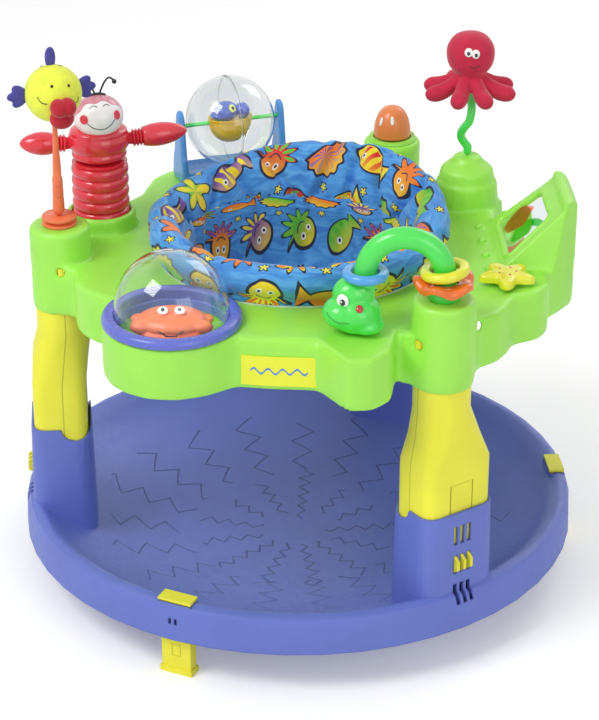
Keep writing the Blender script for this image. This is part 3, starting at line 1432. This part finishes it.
def build_rear_button():
    centre = spot(POST_REACH, 180.0, 0.0)
    low = POST_TOP + BUTTON_TRAVEL + 0.0008
    rim = 0.0035
    collar_low = POST_TOP + TOUCH
    ring = ((BUTTON_RADIUS + 0.0085, collar_low), (BUTTON_RADIUS + 0.0070, collar_low + 0.0040),
            (BUTTON_RADIUS + 0.0012, collar_low + 0.0040), (BUTTON_RADIUS + 0.0012, collar_low))
    make("button_collar", turned(ring, centre, 16, closed=True), "tray_green")
    holder = body("rear_button_body", spot(POST_REACH, 180.0, POST_TOP))
    profile = [(BUTTON_RADIUS, low), (BUTTON_RADIUS, low + rim)]
    height = BUTTON_HEIGHT - rim
    for share in (0.30, 0.55, 0.76, 0.92):
        profile.append((BUTTON_RADIUS * (1.0 - share ** 2.6) ** 0.55 * 0.97, low + rim + height * share))
    profile.append((0.0, low + BUTTON_HEIGHT))
    button = make("rear_button", turned(profile, centre, 14), "bead_orange")
    cut(button, turned(((BUTTON_RADIUS - 0.003, low - 0.01),
                        (BUTTON_RADIUS - 0.0045, low + BUTTON_HEIGHT * 0.45)),
                       centre, 20))
    soften(button)
    hang(button, holder)
    make("rear_button_spring", coil(spot(POST_REACH, 180.0, POST_TOP + TOUCH), 0.0100, 0.0009,
                                    low + BUTTON_HEIGHT * 0.45 - POST_TOP - 2.0 * TOUCH, 4), "spring_steel")


# Seat

def build_seat():
    holder = body("seat", Vector((0.0, 0.0, DECK)))
    middle = Vector((0.0, 0.0, 0.0))
    lip = DECK - DECK_DISH
    flange_low = lip + 2.0 * TOUCH
    flange_top = flange_low + SEAT_RING_THICK
    collar_out = TRAY_HOLE - RUNNING_GAP
    profile = ((SEAT_FLANGE, flange_low), (SEAT_FLANGE, flange_top - 0.001),
               (SEAT_FLANGE - 0.002, flange_top), (SEAT_RING_BORE, flange_top),
               (SEAT_RING_BORE, SEAT_RING_LOW), (collar_out - 0.003, SEAT_RING_LOW),
               (collar_out, SEAT_RING_LOW + 0.006), (collar_out, flange_low))
    hang(make("seat_ring", turned(profile, middle, 30, closed=True), "ring_white"), holder)
    clip_top = lip - DECK_WALL - RUNNING_GAP
    clip = ((collar_out + TOUCH, clip_top - 0.004), (SEAT_FLANGE, clip_top - 0.004), (SEAT_FLANGE, clip_top),
            (collar_out + TOUCH, clip_top))
    hang(make("seat_retainer", turned(clip, middle, 30, closed=True), "ring_white"), holder)
    build_cushion(holder, flange_top + TOUCH)
    build_bucket(holder, flange_top)


def cushion_crest(angle):
    """Crest height round the seat: low in front, rising to the high back."""
    lean = max(math.cos(math.radians(angle - CUSHION_BACK_ANGLE)), 0.0)
    return CUSHION_FRONT + CUSHION_BACK_RISE * lean ** 1.2


def build_cushion(holder, low):
    """The padded rim: crowned all round, drawn in at its pleats, high at the back."""
    sides = 40
    rings = []
    for share in range(sides):
        angle = 360.0 * share / sides
        crest = cushion_crest(angle)
        rise = crest - low
        pleat = 0.5 + 0.5 * math.cos(math.radians(angle * 12.0))
        puff = 1.0 - 0.010 * pleat
        back = max(math.cos(math.radians(angle - CUSHION_BACK_ANGLE)), 0.0)
        turn = (angle - CUSHION_FULL_ANGLE + 180.0) % 360.0 - 180.0
        full = max(math.cos(math.radians(min(abs(turn) * 3.2, 90.0))), 0.0) * CUSHION_FULL
        inner = CUSHION_BORE - 0.006 * back
        section = ((SEAT_FLANGE - 0.0025, low), (SEAT_FLANGE - 0.0002 + full, low + 0.010),
                   (CUSHION_REACH * puff + full, low + rise * 0.52),
                   (CUSHION_REACH * puff - 0.004 + full, low + rise * 0.82),
                   (SEAT_FLANGE, crest - 0.001),
                   (SEAT_FLANGE - 0.0140, crest - 0.003), (SEAT_FLANGE - 0.0270, crest - rise * 0.24),
                   (inner, low + rise * 0.40), (inner + 0.002, low + 0.006), (SEAT_FLANGE - 0.0270, low))
        rings.append([spot(reach, angle, height) for reach, height in section])
    hang(make("seat_cushion", loft(rings, closed=True), "fabric_blue", smooth=80.0), holder)


def bucket_profile(shrink):
    outer = SEAT_RING_BORE - 0.0010 - shrink
    depth = SEAT_RING_LOW - BUCKET_LOW
    floor = BUCKET_LOW + shrink
    return ((outer, SEAT_RING_LOW + 0.030), (outer, SEAT_RING_LOW), (outer * 0.92, floor + depth * 0.62),
            (outer * 0.74, floor + depth * 0.28), (outer * 0.42, floor + depth * 0.04), (0.0, floor))


def build_bucket(holder, top):
    """The fabric sling that the child sits in, with its two leg holes."""
    outer = [(reach, min(height, top)) for reach, height in bucket_profile(0.0)]
    inner = [(reach, min(height, top)) for reach, height in bucket_profile(BUCKET_WALL)]
    profile = outer + list(reversed(inner))
    sling = turned(profile, Vector((0.0, 0.0, 0.0)), 24, closed=True)
    bucket = make("seat_bucket", sling, "fabric_blue", 80.0)
    for sign in (-1.0, 1.0):
        angle = sign * LEG_HOLE_ANGLE
        axis = (out_from(angle) - Vector((0.0, 0.0, 0.45))).normalized()
        start = spot(0.06, angle, LEG_HOLE_HEIGHT + 0.03)
        cut(bucket, turned(((LEG_HOLE_RADIUS, 0.0), (LEG_HOLE_RADIUS, 0.14)), start, 16, axis=axis))
    soften(bucket, 80.0)
    hang(bucket, holder)


# Label plate

def wall_point(angle, proud, height):
    """A point on the tray's faceted wall at an angle, moved outwards."""
    step = 360.0 / TRAY_SIDES
    index = math.floor(angle / step)
    start = spot(tray_reach(step * index, 0.0), step * index)
    end = spot(tray_reach(step * (index + 1), 0.0), step * (index + 1))
    run = end - start
    across = Vector((run.y, -run.x, 0.0))
    reach = start.dot(across) / out_from(angle).dot(across)
    return spot(reach + proud, angle, height)


def build_plate():
    """A plain plate that follows the facets of the skirt's front."""
    step = 360.0 / TRAY_SIDES
    half = math.degrees(PLATE_HALF_WIDTH / CORE_RADIUS)
    first = PLATE_ANGLE - half
    last = PLATE_ANGLE + half
    angles = [first] + [step * index for index in range(math.ceil(first / step), math.floor(last / step) + 1)]
    angles.append(last)
    rings = []
    for height in (PLATE_LOW, PLATE_HIGH):
        outside = [wall_point(angle, TOUCH + PLATE_THICKNESS, height) for angle in angles]
        inside = [wall_point(angle, TOUCH, height) for angle in angles]
        rings.append(outside + list(reversed(inside)))
    make("label_plate", loft(rings), "bead_yellow")


def build_all():
    start_clean()
    build_saucer()
    for side, angle in FOOT_ANGLES.items():
        build_foot(side, angle)
    build_tray()
    for side, angle in LEG_ANGLES.items():
        build_leg(side, angle)
        build_latch(side, angle)
    build_mirror()
    build_star()
    build_dome()
    build_arch()
    build_octopus()
    build_puppet()
    build_ball()
    build_fish()
    build_rear_button()
    build_seat()
    build_plate()
    bpy.context.view_layer.update()


build_all()
